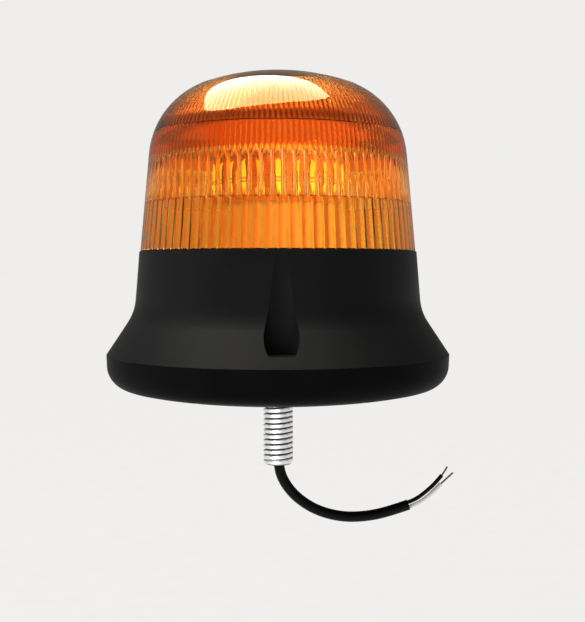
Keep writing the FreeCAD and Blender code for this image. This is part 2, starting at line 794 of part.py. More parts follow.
def head_leads():
    """Two leads from the driver board up the tower's bore and out to the sleeve."""
    low = size("board_height").value + size("board_thickness").value
    reach = size("tower_radius").value + 0.05
    height = size("tower_top").value - 3.5
    leads = [tube("head_leads", [(x, 11, low), (x, 11, low + 30), (x, 11.5, low + 55),
                                 (x, 17, height), (x, reach, height)], 1.4) for x in (-1.6, 1.6)]
    return solids_feature("head_leads", leads)


# ---- assembly -----------------------------------------------------------------------------------

def build():
    housing()
    base_tray()
    tray_seal()
    mounting_pad()
    vent_plug()
    seat, shank = size("head_seat"), size("shank_radius")
    screw_group("tray_screws", size("tray_screw_circle"), size("tray_screw_count"), 0,
                (seat - 5, seat - 3, 3.3), (seat - 3, seat + 13, shank))
    stud()
    stud_seal()
    clamp_plate()
    clamp_top = size("hub_height") + size("clamp_thickness")
    screw_group("clamp_screws", size("clamp_screw_circle"), 4, 0,
                (clamp_top, clamp_top + 1.8, 2.8), (clamp_top - 9, clamp_top, shank))
    cable_grommet()
    cable_tie()
    cable_inner()
    supply_core("supply_core_black", -1)
    supply_core("supply_core_white", 1)

    deck()
    deck_low = size("deck_height")
    deck_top = deck_low + size("deck_thickness")
    screw_group("deck_screws", size("deck_screw_circle"), 3, 60, (deck_low - 1.8, deck_low, 1.9),
                (deck_low, deck_top - 0.05, 1.5))
    light_tower()
    tower_circle = size("tower_screw_circle")
    screw_group("tower_screws", tower_circle, 3, 60, (deck_low - 2, deck_low, 3.0),
                (deck_low, deck_top + 8, shank))
    strip_board()
    light_strips()
    tower_cap()
    cap_top = size("tower_top") + size("cap_thickness")
    screw_group("cap_screws", tower_circle, 3, 60, (cap_top, cap_top + 1.6, 2.6),
                (cap_top - 9, cap_top, 1.2))
    head_leads()
    driver_board()
    board_posts()
    board_low = size("board_height")
    screw_group("board_screws", size("board_post_circle"), 4, 45, (board_low - 2, board_low, 2.8),
                (board_low, board_low + 8, shank))
    terminal_block()
    terminal_screws()
    blocks_on_board("capacitors", 11, circles=[((-22, 12), 5), ((-24, -3), 5)])
    blocks_on_board("inductor", 7, boxes=[(16, 28, -6, 6)])
    blocks_on_board("driver_chip", 1.6, boxes=[(-4, 4, -24, -17)])
    blocks_on_board("surge_diode", 2.4, boxes=[(14, 21, 14, 18)])

    lens()
    lens_gasket()
    cable = size("cable_diameter").value
    core = size("core_diameter").value
    strand = size("strand_diameter").value
    free_tube("cable_sheath", SHEATH_ROUTE, cable)
    free_tube("black_core", BLACK_CORE_ROUTE, core)
    free_tube("white_core", WHITE_CORE_ROUTE, core)
    free_tube("black_strands", BLACK_STRAND_ROUTE, strand)
    free_tube("white_strands", WHITE_STRAND_ROUTE, strand)


def write_parts():
    """Check every object, then write one STEP file for each sub-part."""
    doc.recompute()
    for thing in doc.Objects:
        if "Invalid" in thing.State or "Error" in thing.State:
            raise RuntimeError(f"{thing.Name} failed: {thing.State}")
    nodes = [o for o in doc.Objects if o.TypeId in ("PartDesign::Body", "Part::Feature")]
    for node in nodes:
        if node.Shape.isNull() or not node.Shape.isValid() or not node.Shape.Solids:
            raise RuntimeError(f"{node.Label} has no valid solid")
    os.makedirs("parts", exist_ok=True)
    for node in nodes:
        node.Shape.exportStep(f"parts/{node.Label}.step")
        print(f"{node.Label}: {len(node.Shape.Solids)} solids, {node.Shape.Volume / 1000:.2f} cm3")
    print(f"{len(nodes)} nodes")


build()
write_parts()
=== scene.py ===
import math

import bmesh
import bpy
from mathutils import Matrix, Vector


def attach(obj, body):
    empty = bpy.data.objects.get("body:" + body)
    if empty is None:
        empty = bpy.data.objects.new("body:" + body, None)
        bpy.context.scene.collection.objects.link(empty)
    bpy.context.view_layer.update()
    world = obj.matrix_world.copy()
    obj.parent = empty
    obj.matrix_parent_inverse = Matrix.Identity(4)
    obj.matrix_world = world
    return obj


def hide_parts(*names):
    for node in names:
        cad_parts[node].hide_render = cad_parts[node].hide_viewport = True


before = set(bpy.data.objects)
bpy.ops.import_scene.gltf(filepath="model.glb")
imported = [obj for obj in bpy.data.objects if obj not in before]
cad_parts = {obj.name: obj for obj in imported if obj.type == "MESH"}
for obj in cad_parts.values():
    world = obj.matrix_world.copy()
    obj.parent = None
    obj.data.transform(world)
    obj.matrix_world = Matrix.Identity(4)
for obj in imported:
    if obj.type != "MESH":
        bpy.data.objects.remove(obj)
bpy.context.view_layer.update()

# Single-bolt warning beacon: black tapered housing, amber fluted lens, light head on an aluminium
# tower, threaded stud and supply cable.  Metres, +Z up, origin at the centre of the mounting face.

MM = 0.001

# The lens: heights from the mounting face, radii from the axis
LENS_FOOT = 66.5 * MM    # the wall leans in from here to the shoulder
LENS_RADIUS = 64.2 * MM
SHOULDER = 111.55 * MM
SHOULDER_RADIUS = 60.0 * MM
WALL_LEAN = (SHOULDER_RADIUS - LENS_RADIUS) / (SHOULDER - LENS_FOOT)
LENS_WALL = 2.8 * MM
NECK_TOP = 0.25 * MM     # inside, the wall slopes to the skirt from this far above the foot
NECK_DROP = 0.9 * MM     # to this far below it
LEDGE = 88.4 * MM        # flutes below it, prisms above it
PRISM_TOP = 107.7 * MM   # fine ribs above it
RING = 122.0 * MM        # a ridge round the inside of the dome

# Its ribs
FLUTES = 80              # ribs round the inside
FLUTE_COLUMNS = 16       # mesh columns over one rib
FIRST_WINDOW = -91.1     # azimuth of the middle of one window between ribs, degrees
WHOLE_TURNS = 1000       # keeps a count of ribs or turns positive before its fraction is taken
TOOTH_TIP = 0.25         # a prism's half width at the top, as a share of half a rib's width
TOOTH_GROWTH = 0.25      # and what it gains on the way down to the ledge

# The light head behind them
STRIP_FACE = 30.2 * MM   # the strips' fronts lie further out than this
STRIP_MIDDLE = 97.75 * MM
SLEEVE_MIDDLE = 97.0 * MM

# The stud
STUD_END = -34.0 * MM
STUD_RADIUS = 7.0 * MM
STUD_BORE = 3.1 * MM
THREAD_PITCH = 2.45 * MM
THREAD_DEPTH = 0.95 * MM

# The cable's route, cores and bare ends, in the plane y = 0 (x, z), in millimetres
SHEATH_ROUTE = [(0, -28), (0, -35.5), (2.7, -43.2), (8.9, -50.8), (18.6, -57), (30.8, -60.2),
                (43, -59.8), (53.6, -57.4), (62.3, -54.4)]
BLACK_CORE_ROUTE = [(61.93, -53.31), (65.7, -52.0), (71.2, -47.8), (75.4, -43.9), (78.3, -40.3)]
WHITE_CORE_ROUTE = [(62.69, -55.5), (66.4, -54.2), (71.4, -50.9), (75.2, -47.2), (77.9, -44.4)]
BLACK_STRAND_ROUTE = [(78.3, -40.3), (79.7, -38.5), (80.9, -36.2)]
WHITE_STRAND_ROUTE = [(77.9, -44.4), (80.6, -42.0), (83.7, -39.1)]
SHEATH_WIDTH = 5.0 * MM
CORE_WIDTH = 1.9 * MM
STRAND_WIDTH = 0.9 * MM  # the whole bundle


# ---- node trees ---------------------------------------------------------------------------------

class Number:
    """A value in a node tree.  Arithmetic on it adds Math nodes."""

    def __init__(self, nodes, socket):
        self.nodes = nodes
        self.socket = socket

    def math(self, operation, *others):
        return self.nodes.math(operation, self, *others)

    def out(self, name):
        """Another output of the same node."""
        return Number(self.nodes, self.socket.node.outputs[name])

    def __add__(self, other):
        return self.math("ADD", other)

    def __sub__(self, other):
        return self.math("SUBTRACT", other)

    def __mul__(self, other):
        return self.math("MULTIPLY", other)

    def __truediv__(self, other):
        return self.math("DIVIDE", other)

    def __rsub__(self, other):
        return self.nodes.math("SUBTRACT", other, self)

    def __rtruediv__(self, other):
        return self.nodes.math("DIVIDE", other, self)

    __radd__ = __add__
    __rmul__ = __mul__

    def above(self, edge):
        return self.math("GREATER_THAN", edge)

    def below(self, edge):
        return self.math("LESS_THAN", edge)

    def fraction(self):
        return self.math("FRACT")

    def size(self):
        return self.math("ABSOLUTE")

    def clamped(self):
        return self.math("MAXIMUM", 0.0).math("MINIMUM", 1.0)

    def ramp(self, low, high):
        """0 at low, 1 at high, and held outside."""
        return ((self - low) / (high - low)).clamped()

    def spread(self, low, high):
        """Stretch noise, which mostly lies from 0.3 to 0.7, over low to high."""
        return self.ramp(0.3, 0.7) * (high - low) + low

    def off_middle(self):
        """-1 to 1 over each whole number, 0 in its middle."""
        return (self.fraction() - 0.5) * 2


class Nodes:
    """Adds nodes to one tree: the settings first, then the values or links of the sockets."""

    def __init__(self, tree):
        self.tree = tree

    def add(self, kind, inputs=None, output=0, **settings):
        node = self.tree.nodes.new(kind)
        for name, value in settings.items():
            setattr(node, name, value)
        for key, value in (inputs or {}).items():
            if isinstance(value, Number):
                self.tree.links.new(value.socket, node.inputs[key])
            else:
                node.inputs[key].default_value = value
        return Number(self, node.outputs[output]) if node.outputs else node

    def math(self, operation, *values):
        return self.add("ShaderNodeMath", dict(enumerate(values)), operation=operation)


class Finish(Nodes):
    """A material with one Principled shader; constant sockets are set on the shader itself."""

    def __init__(self, name, colour, roughness, **constants):
        self.material = bpy.data.materials.new(name)
        self.material.use_nodes = True
        super().__init__(self.material.node_tree)
        self.shader = self.tree.nodes["Principled BSDF"]
        self.constant("Base Color", (*colour, 1))
        self.constant("Roughness", roughness)
        for label, value in constants.items():
            self.constant(label.replace("_", " ").title().replace("Ior", "IOR"), value)

    def constant(self, socket, value):
        self.shader.inputs[socket].default_value = value

    def vary(self, socket, value):
        self.tree.links.new(value.socket, self.shader.inputs[socket])

    def place(self):
        return self.add("ShaderNodeTexCoord", output="Object")

    def turned_place(self):
        """Height, distance from the axis, and azimuth as a share of a turn."""
        x = self.add("ShaderNodeSeparateXYZ", {0: self.place()})
        y, height = x.out("Y"), x.out("Z")
        distance = (x * x + y * y).math("SQRT")
        return height, distance, y.math("ARCTAN2", x) / math.tau

    def noise(self, size, detail=2.0):
        """Soft noise, 0 to 1, with grains about this size in metres."""
        inputs = {"Vector": self.place(), "Scale": 1 / size, "Detail": detail}
        return self.add("ShaderNodeTexNoise", inputs)

    def mix(self, share, first, second):
        """Colours blended by share; a colour is three numbers or a link."""
        first, second = [c if isinstance(c, Number) else (*c, 1) for c in (first, second)]
        inputs = {0: share, 6: first, 7: second}
        return self.add("ShaderNodeMix", inputs, output=2, data_type="RGBA")

    def mottle(self, noise, dark, light):
        """Let the base colour drift between two shades."""
        self.vary("Base Color", self.mix(noise.spread(0, 1), dark, light))

    def bump(self, height, distance, strength=1.0):
        """Raise the surface by height times distance metres."""
        inputs = {"Height": height, "Distance": distance, "Strength": strength}
        self.vary("Normal", self.add("ShaderNodeBump", inputs))


# ---- finishes -----------------------------------------------------------------------------------

def shade(colour, amount):
    return tuple(part * amount for part in colour)


def moulded_black(name, tone, roughness, gloss):
    """Black thermoplastic with a fine spark-eroded grain and a faint flow pattern."""
    colour = (tone, tone, tone * 1.03)
    finish = Finish(name, colour, roughness, specular_ior_level=gloss)
    grain = finish.noise(0.35 * MM, 2)
    finish.mottle(finish.noise(30 * MM, 3), shade(colour, 0.8), shade(colour, 1.25))
    finish.vary("Roughness", grain.spread(roughness - 0.07, roughness + 0.07))
    finish.bump(grain, 0.02 * MM)
    return finish.material


def soft_rubber(name, tone, ring=0.0):
    """Matte rubber with bloom; ring is the spacing of turned sealing lines, or 0."""
    colour = (tone, tone, tone)
    finish = Finish(name, colour, 0.85, specular_ior_level=0.3)
    bloom = finish.noise(6 * MM, 4)
    finish.mottle(bloom, shade(colour, 0.7), shade(colour, 1.5))
    finish.vary("Roughness", bloom.spread(0.75, 0.95))
    height = finish.noise(0.5 * MM, 2) * 0.2
    if ring:
        _, distance, _ = finish.turned_place()
        height = height + ((distance / ring).fraction() - 0.5).size().ramp(0.2, 0.4)
    finish.bump(height, 0.25 * MM)
    return finish.material


def plated_metal(name, colour, roughness):
    """Bright plating with a fine grain and a little cloudiness."""
    finish = Finish(name, colour, roughness, metallic=1.0)
    grain = finish.noise(0.25 * MM, 3)
    finish.mottle(finish.noise(4 * MM, 3), shade(colour, 0.8), colour)
    finish.vary("Roughness", grain.spread(roughness * 0.7, roughness * 1.4))
    finish.bump(grain, 0.01 * MM)
    return finish.material


def cable_plastic(name, colour, roughness, gloss=0.4):
    """Extruded cable jacket: satin, with a faint grain."""
    finish = Finish(name, colour, roughness, specular_ior_level=gloss)
    grain = finish.noise(0.6 * MM, 3)
    finish.mottle(finish.noise(7 * MM, 2), shade(colour, 0.85), colour)
    finish.vary("Roughness", grain.spread(roughness - 0.08, roughness + 0.1))
    finish.bump(grain, 0.03 * MM)
    return finish.material


def plain_plastic(name, colour, roughness=0.5):
    """Small moulded or coated pieces: mottled colour and fine grain."""
    finish = Finish(name, colour, roughness, specular_ior_level=0.4)
    grain = finish.noise(0.6 * MM, 2)
    finish.mottle(finish.noise(5 * MM, 3), shade(colour, 0.82), colour)
    finish.vary("Roughness", grain.spread(roughness - 0.1, roughness + 0.1))
    finish.bump(grain, 0.03 * MM)
    return finish.material


def circuit_board(name, colour):
    """Solder-masked laminate with faint copper tracks under the mask."""
    finish = Finish(name, colour, 0.35, coat_weight=0.3)
    cells = finish.add("ShaderNodeTexVoronoi", {"Vector": finish.place(), "Scale": 1 / (5 * MM)},
                       distance="MANHATTAN", feature="DISTANCE_TO_EDGE")
    track = cells.below(0.08)
    over_copper = tuple(min(1.0, part * 1.8 + 0.03) for part in colour)
    finish.vary("Base Color", finish.mix(track * 0.7, colour, over_copper))
    finish.vary("Roughness", finish.noise(0.8 * MM).spread(0.3, 0.5))
    finish.bump(track, 0.03 * MM)
    return finish.material


def phosphor_with_painted_glow(name):
    """Yellow phosphor cast over the light-emitting strips, dark at the sides and at the two joints
    between the tiers.  Its emission is a painted glow that makes the unlit strips shine."""
    finish = Finish(name, (0.95, 0.72, 0.05), 0.5, emission_strength=1.0)
    height, distance, _ = finish.turned_place()
    grain = finish.noise(0.4 * MM, 2)
    side = distance.below(STRIP_FACE)
    joint = 1 - ((height - STRIP_MIDDLE).size() / MM - 0.75).size().ramp(0.15, 0.4)
    colour = finish.mix(grain.spread(0, 1), (1.0, 0.72, 0.02), (1.0, 0.88, 0.08))
    colour = finish.mix((joint + side).clamped(), colour, (0.12, 0.05, 0.01))
    finish.vary("Base Color", colour)
    # Painted glow: the emission makes the unlit strips shine
    finish.vary("Emission Color", colour)
    finish.bump(grain, 0.05 * MM)
    return finish.material


def sleeve_laminate(name):
    """The coated board behind the strips, with two printed tracks round it."""
    finish = Finish(name, (0.75, 0.35, 0.2), 0.5)
    height, _, _ = finish.turned_place()
    cloud = finish.noise(5 * MM, 3)
    off_track = ((height - SLEEVE_MIDDLE).size() - 2.6 * MM).size()
    track = 1 - off_track.ramp(0.15 * MM, 0.4 * MM)
    colour = finish.mix(cloud.spread(0, 1), (0.62, 0.27, 0.16), (0.78, 0.36, 0.2))
    finish.vary("Base Color", finish.mix(track * 0.6, colour, (0.25, 0.07, 0.05)))
    finish.vary("Roughness", cloud.spread(0.4, 0.6))
    finish.bump(track, 0.03 * MM)
    return finish.material


def amber_plastic(name):
    """Clear amber moulding, redder towards the crown where the light passes more of it, with
    painted
    light and shade: a light and a dark stripe across each flute, paler teeth and a light lip on the
    prisms, painted dark lines where the inside steps and a painted dark olive edge where the dome
    is seen end on."""
    finish = Finish(name, (1.0, 0.4, 0.05), 0.03, transmission_weight=1.0, ior=1.49,
                    specular_tint=(1.0, 0.95, 0.32, 1))
    height, distance, turn = finish.turned_place()
    around = (turn - FIRST_WINDOW / 360) * FLUTES + WHOLE_TURNS
    off_window = around.off_middle().size()

    # Where the surface is: on the inner face, on the prisms, on one prism's tooth
    midwall = LENS_RADIUS - 1.0 * MM
    inside = distance.below((height - LENS_FOOT) * WALL_LEAN + midwall)
    prism = inside * height.above(LEDGE) * height.below(PRISM_TOP)
    half_width = (1 - height.ramp(LEDGE, PRISM_TOP)) * TOOTH_GROWTH + TOOTH_TIP
    tooth = prism * (1 - (off_window / half_width).ramp(0.9, 1.1))

    # The amber from the foot to the crown, with painted light and shade: a light and a dark stripe
    # across each flute
    flutes = finish.mix(around.fraction().ramp(0.25, 0.6), (0.92, 0.31, 0.07), (1.0, 0.64, 0.18))
    prisms = finish.mix(height.ramp(LEDGE, PRISM_TOP), (1.0, 0.66, 0.24), (0.98, 0.42, 0.13))
    colour = finish.mix(height.above(LEDGE), flutes, prisms)
    colour = finish.mix(height.above(PRISM_TOP + 0.3 * MM), colour, (0.98, 0.28, 0.065))
    colour = finish.mix(height.ramp(RING, RING + 8 * MM), colour, (0.97, 0.30, 0.045))

    # Painted light and shade: a painted light lip above the prisms, a painted dark line at the
    # ledge and the teeth painted paler
    lip_highlight = (height - PRISM_TOP - 0.35 * MM).size().below(1.05 * MM)
    colour = finish.mix(lip_highlight, colour, (1.0, 0.72, 0.26))
    ledge_shade_line = 1 - ((height - LEDGE).size() / (0.35 * MM)).clamped()
    colour = finish.mix(ledge_shade_line, colour, (0.45, 0.12, 0.02))
    colour = finish.mix(tooth * 0.6, colour, (1.0, 0.5, 0.16))

    # Painted shade: dark notches between the tops of the prisms, and a dark ring with its fine ribs
    notch_shade = 1 - ((height - PRISM_TOP - 0.9 * MM).size() / (1.1 * MM)).clamped()
    notch_shade = notch_shade * (1 - off_window.ramp(0.1, 0.3)) * inside * 0.6
    fine = 1 - (around * 2).off_middle().size().ramp(0.35, 0.7)
    ring = 1 - ((height - RING).size() / (2.6 * MM)).clamped().math("POWER", 3.0)
    dark = (notch_shade + ring * (0.35 + fine * 0.5)).clamped()
    colour = finish.mix(dark, colour, (0.12, 0.035, 0.03))

    # A painted dark olive edge where the dome is seen end on: painted shade standing in for a dark
    # reflection
    edge = finish.add("ShaderNodeLayerWeight", {"Blend": 0.5}, output="Facing").ramp(0.52, 0.72)
    colour = finish.mix(edge * height.ramp(PRISM_TOP, RING), colour, (0.17, 0.12, 0.04))
    finish.vary("Base Color", colour)
    ripple = finish.noise(9 * MM, 1)
    finish.vary("Roughness", ripple.spread(0.02, 0.05) + tooth * 0.3)
    finish.bump(ripple, 0.01 * MM)
    return finish.material


# ---- mesh pieces --------------------------------------------------------------------------------

def new_object(name, data, material=None):
    obj = bpy.data.objects.new(name, data)
    bpy.context.scene.collection.objects.link(obj)
    if material:
        data.materials.clear()
        data.materials.append(material)
    return obj


def ring_share(angle, sides):
    """How far a ring's edge is from the axis, as a share of its corner radius; sides 0 is round."""
    if not sides:
        return 1.0
    half = math.pi / sides
    return math.cos(half) / math.cos(angle % (2 * half) - half)


def revolved(name, outline, columns, inner=None):
    """A closed solid of rings (radius, height, sides), from one end of the outline to the other.
    A ring of radius 0 closes on the axis; otherwise the last ring joins the first.  inner gives
    each ring's share of the relief that a shape tree adds."""
    mesh = bpy.data.meshes.new(name)
    build = bmesh.new()
    mark = build.verts.layers.float.new("inner")
    rings = []
    for number, (radius, height, sides) in enumerate(outline):
        if radius == 0:
            points = [build.verts.new((0, 0, height))]
        else:
            angles = [math.tau * k / columns for k in range(columns)]
            reach = [radius * ring_share(a, sides) for a in angles]
            points = [build.verts.new((r * math.cos(a), r * math.sin(a), height))
                      for r, a in zip(reach, angles)]
        for point in points:
            point[mark] = inner[number] if inner else 0.0
        rings.append(points)
    pairs = list(zip(rings, rings[1:]))
    if len(rings[0]) > 1 and len(rings[-1]) > 1:
        pairs.append((rings[-1], rings[0]))
    for low, high in pairs:
        for k in range(columns):
            corners = [low[k % len(low)], low[(k + 1) % len(low)],
                       high[(k + 1) % len(high)], high[k % len(high)]]
            corners = list(dict.fromkeys(corners))
            if len(corners) > 2:
                build.faces.new(corners)
    bmesh.ops.recalc_face_normals(build, faces=build.faces)
    build.to_mesh(mesh)
    build.free()
    return mesh


def smoothed(mesh, angle=30):
    """Smooth shading with sharp edges kept above this angle."""
    mesh.shade_smooth()
    mesh.set_sharp_from_angle(angle=math.radians(angle))
    return mesh


def arc(start, end, radius, steps):
    """Points on the short arc from start to end that bulges away from the axis, ends included."""
    (x0, z0), (x1, z1) = start, end
    chord = math.hypot(x1 - x0, z1 - z0)
    rise = math.sqrt(radius * radius - chord * chord / 4)
    centre = ((x0 + x1) / 2 - (z1 - z0) / chord * rise, (z0 + z1) / 2 + (x1 - x0) / chord * rise)
    first = math.atan2(z0 - centre[1], x0 - centre[0])
    last = math.atan2(z1 - centre[1], x1 - centre[0])
    angles = [first + (last - first) * k / steps for k in range(steps + 1)]
    return [(centre[0] + radius * math.cos(a), centre[1] + radius * math.sin(a)) for a in angles]


# ---- geometry node trees ------------------------------------------------------------------------

def new_shape_tree(name, sizes):
    """A tree with a mesh in and out, and named number inputs."""
    tree = bpy.data.node_groups.new(name, "GeometryNodeTree")
    tree.interface.new_socket("Geometry", in_out="INPUT", socket_type="NodeSocketGeometry")
    tree.interface.new_socket("Geometry", in_out="OUTPUT", socket_type="NodeSocketGeometry")
    for label in sizes:
        tree.interface.new_socket(label, in_out="INPUT", socket_type="NodeSocketFloat")
    tree.interface.new_socket("Material", in_out="INPUT", socket_type="NodeSocketMaterial")
    nodes = Nodes(tree)
    return nodes, nodes.add("NodeGroupInput")


def close_tree(nodes, source, geometry):
    """End in Realize Instances and Set Material."""
    whole = nodes.add("GeometryNodeRealizeInstances", {0: geometry})
    painted = nodes.add("GeometryNodeSetMaterial", {0: whole, "Material": source.out("Material")})
    nodes.add("NodeGroupOutput", {0: painted})
    return nodes.tree


def shaped(name, mesh, tree, material, **sizes):
    """Run a tree on a mesh with these sizes and keep the result as a plain mesh object."""
    obj = new_object(name, mesh)
    modifier = obj.modifiers.new("shape", "NODES")
    modifier.node_group = tree
    given = {label.replace("_", " ").title(): value for label, value in sizes.items()}
    given["Material"] = material
    for item in tree.interface.items_tree:
        if item.in_out == "INPUT" and item.name in given:
            modifier[item.identifier] = given[item.name]
    graph = bpy.context.evaluated_depsgraph_get()
    result = bpy.data.meshes.new_from_object(obj.evaluated_get(graph))
    obj.modifiers.remove(modifier)
    obj.data = result
    return obj


def place_in_tree(nodes):
    """Height, and azimuth as a share of a turn."""
    x = nodes.add("ShaderNodeSeparateXYZ", {0: nodes.add("GeometryNodeInputPosition")})
    return x.out("Z"), x.out("Y").math("ARCTAN2", x) / math.tau


def raise_surface(nodes, source, relief):
    """Move the surface along its normal by the relief, where the inner attribute marks it, and
    end the tree."""
    inner = nodes.add("GeometryNodeInputNamedAttribute", {"Name": "inner"}, data_type="FLOAT")
    normal = nodes.add("GeometryNodeInputNormal")
    inputs = {0: normal, "Scale": relief * inner}
    offset = nodes.add("ShaderNodeVectorMath", inputs, operation="SCALE")
    moved = nodes.add("GeometryNodeSetPosition", {0: source, "Offset": offset})
    return close_tree(nodes, source, moved)


def lens_rib_tree():
    """Raise flutes, prisms and fine ribs on the inside of the lens."""
    sizes = ["Ribs", "First Window", "Flute", "Prism", "Fine", "Foot", "Ledge", "Prism Top",
             "Fade From", "Fade To"]
    nodes, source = new_shape_tree("lens ribs", sizes)
    (ribs, first_window, flute, prism, fine, foot, ledge, prism_top, fade_from,
     fade_to) = [source.out(label) for label in sizes]
    height, turn = place_in_tree(nodes)
    around = (turn - first_window) * ribs + WHOLE_TURNS
    off_window = around.off_middle()
    off_fine = (around * 2).off_middle()
    slope = 1 - (height - ledge) / (prism_top - ledge)
    half_width = slope.clamped() * TOOTH_GROWTH + TOOTH_TIP
    tooth = 1 - ((off_window.size() / half_width - 0.5) * 2).clamped()
    flute_relief = height.above(foot) * height.below(ledge) * (1 - off_window * off_window) * flute
    prism_relief = height.above(ledge) * height.below(prism_top) * tooth * slope * prism
    fine_relief = (height.above(prism_top) * (1 - off_fine * off_fine)
                   * (1 - height.ramp(fade_from, fade_to)) * fine)
    return raise_surface(nodes, source, flute_relief + prism_relief + fine_relief)


def thread_tree():
    """Cut a right-hand helical groove into the marked rings of a shank."""
    nodes, source = new_shape_tree("thread", ["Pitch", "Depth"])
    height, turn = place_in_tree(nodes)
    off_groove = (height / source.out("Pitch") - turn + WHOLE_TURNS).off_middle().size()
    groove = 1 - off_groove.ramp(0.08, 0.42)
    return raise_surface(nodes, source, groove * source.out("Depth") * -1)


def circle_tree():
    """Copies of the mesh evenly on a circle round the axis."""
    nodes, source = new_shape_tree("round the axis", ["Count", "Radius", "First"])
    points = nodes.add("GeometryNodePoints", {"Count": source.out("Count")})
    number = nodes.add("GeometryNodeInputIndex")
    angle = number / source.out("Count") * math.tau + source.out("First")
    x = angle.math("COSINE") * source.out("Radius")
    y = angle.math("SINE") * source.out("Radius")
    spot = nodes.add("ShaderNodeCombineXYZ", {"X": x, "Y": y})
    turn = nodes.add("ShaderNodeCombineXYZ", {"Z": angle})
    set_out = nodes.add("GeometryNodeSetPosition", {0: points, "Position": spot})
    copies = nodes.add("GeometryNodeInstanceOnPoints",
                       {"Points": set_out, "Instance": source, "Rotation": turn})
    return close_tree(nodes, source, copies)


# ---- camera, light and floor --------------------------------------------------------------------

def make_camera():
    """Almost half a metre in front of the housing, turned a little down and to the right."""
    looks_down, looks_right = math.radians(2.498), math.radians(1.92)
    camera = new_object("camera", bpy.data.cameras.new("camera"))
    camera.location = (-8.46 * MM, -453.54 * MM, 58.33 * MM)
    camera.rotation_euler = (math.radians(90) - looks_down, 0, -looks_right)
    camera.data.lens = 55.57
    camera.data.clip_start = 0.01
    bpy.context.scene.camera = camera


def soft_box(name, place, aim, width, height, power, colour=(1, 1, 1)):
    """A rectangular lamp at a place, turned to what it is aimed at; power in watts."""
    light = bpy.data.lights.new(name, "AREA")
    light.shape = "RECTANGLE"
    light.size, light.size_y = width, height
    light.energy = power
    light.color = colour
    lamp = new_object(name, light)
    lamp.location = place
    lamp.rotation_euler = (Vector(aim) - Vector(place)).to_track_quat("-Z", "Y").to_euler()
    return lamp


def overhead_card(left, right, front, back, strength):
    """A glowing card over the beacon between two corners (x, y, z): it reaches this far to the
    front in half an ellipse, and to the back in a narrower bulge.  Only reflections and what is
    seen through clear plastic show it."""
    steps = 24
    left, right = Vector(left), Vector(right)
    middle, across = (left + right) / 2, (right - left) / 2
    deeper = Vector((-across.y, across.x, 0)).normalized()
    angles = [math.pi * k / steps for k in range(steps)]
    points = [middle + across * math.cos(a) + deeper * back * math.sin(a) ** 3 for a in angles]
    points += [middle - across * math.cos(a) - deeper * front * math.sin(a) for a in angles]
    mesh = bpy.data.meshes.new("overhead_card")
    mesh.from_pydata(points, [], [list(range(len(points) - 1, -1, -1))])
    glow = Finish("card glow", (0, 0, 0), 1.0, emission_strength=strength)
    clouds = glow.noise(0.3, 2)
    dim, bright = (0.95, 0.93, 0.86), (1, 0.99, 0.93)
    glow.vary("Emission Color", glow.mix(clouds.spread(0, 1), dim, bright))
    card = new_object("overhead_card", mesh, glow.material)
    card.visible_camera = False
    card.visible_diffuse = False


def make_studio():
    """A pale sweep all round, a glowing card overhead, a soft box on the left for the housing, a
    fill that reaches only what lies behind clear plastic, and a pale floor."""
    pale = (0.862, 0.855, 0.840)
    ambient, more_through_lens, less_in_reflections = 0.45, 0.6, -0.2
    bpy.context.scene.view_settings.view_transform = "Standard"
    world = bpy.data.worlds.new("studio")
    bpy.context.scene.world = world
    world.use_nodes = True
    sky = Nodes(world.node_tree)
    path = sky.add("ShaderNodeLightPath", output="Is Camera Ray")
    through = path.out("Is Transmission Ray")
    reflected = path.out("Is Glossy Ray")
    indirect = ambient + through * more_through_lens + reflected * less_in_reflections
    strength = path + (1 - path) * indirect
    background = world.node_tree.nodes["Background"]
    background.inputs["Color"].default_value = (*pale, 1)
    world.node_tree.links.new(strength.socket, background.inputs["Strength"])
    overhead_card(left=(-0.62, 0.04, 0.75), right=(0.33, 0.035, 0.75), front=0.35, back=0.51,
                  strength=11)
    housing_light = soft_box("left box", place=(-0.9, -0.5, 0.7), aim=(0, 0, 0.03), width=0.5,
                             height=0.5, power=16)
    housing_light.visible_glossy = False
    housing_light.visible_transmission = False
    lens_light = soft_box("lens fill", place=(0.5, -1.0, 0.6), aim=(0, 0, 0.08), width=1.4,
                          height=1.0, power=24, colour=(1, 0.97, 0.9))
    lens_light.visible_glossy = False
    lens_light.visible_diffuse = False
    floor_mesh = bpy.data.meshes.new("floor")
    side, level = 40.0, -0.2
    floor_mesh.from_pydata([(-side, -side, level), (side, -side, level), (side, side, level),
                            (-side, side, level)], [], [(0, 1, 2, 3)])
    paper = Finish("pale paper", (0.02, 0.02, 0.02), 1.0, emission_strength=1.0,
                   specular_ior_level=0.0)
    fibres = paper.noise(0.02, 3)
    paper.vary("Emission Color", paper.mix(fibres.spread(0, 1), shade(pale, 0.985), pale))
    new_object("floor", floor_mesh, paper.material)


# ---- cable --------------------------------------------------------------------------------------

def route_curve(name, route, width=0.0):
    """A smooth curve with the route's points as its control points."""
    curve = bpy.data.curves.new(name, "CURVE")
    curve.dimensions = "3D"
    spline = curve.splines.new("NURBS")
    spline.points.add(len(route) - 1)
    for point, (x, z) in zip(spline.points, route):
        point.co = (x * MM, 0, z * MM, 1)
    spline.order_u = 3
    spline.use_endpoint_u = True
    spline.resolution_u = 16
    curve.bevel_depth = width / 2
    curve.bevel_resolution = 6
    curve.use_fill_caps = width > 0
    return curve


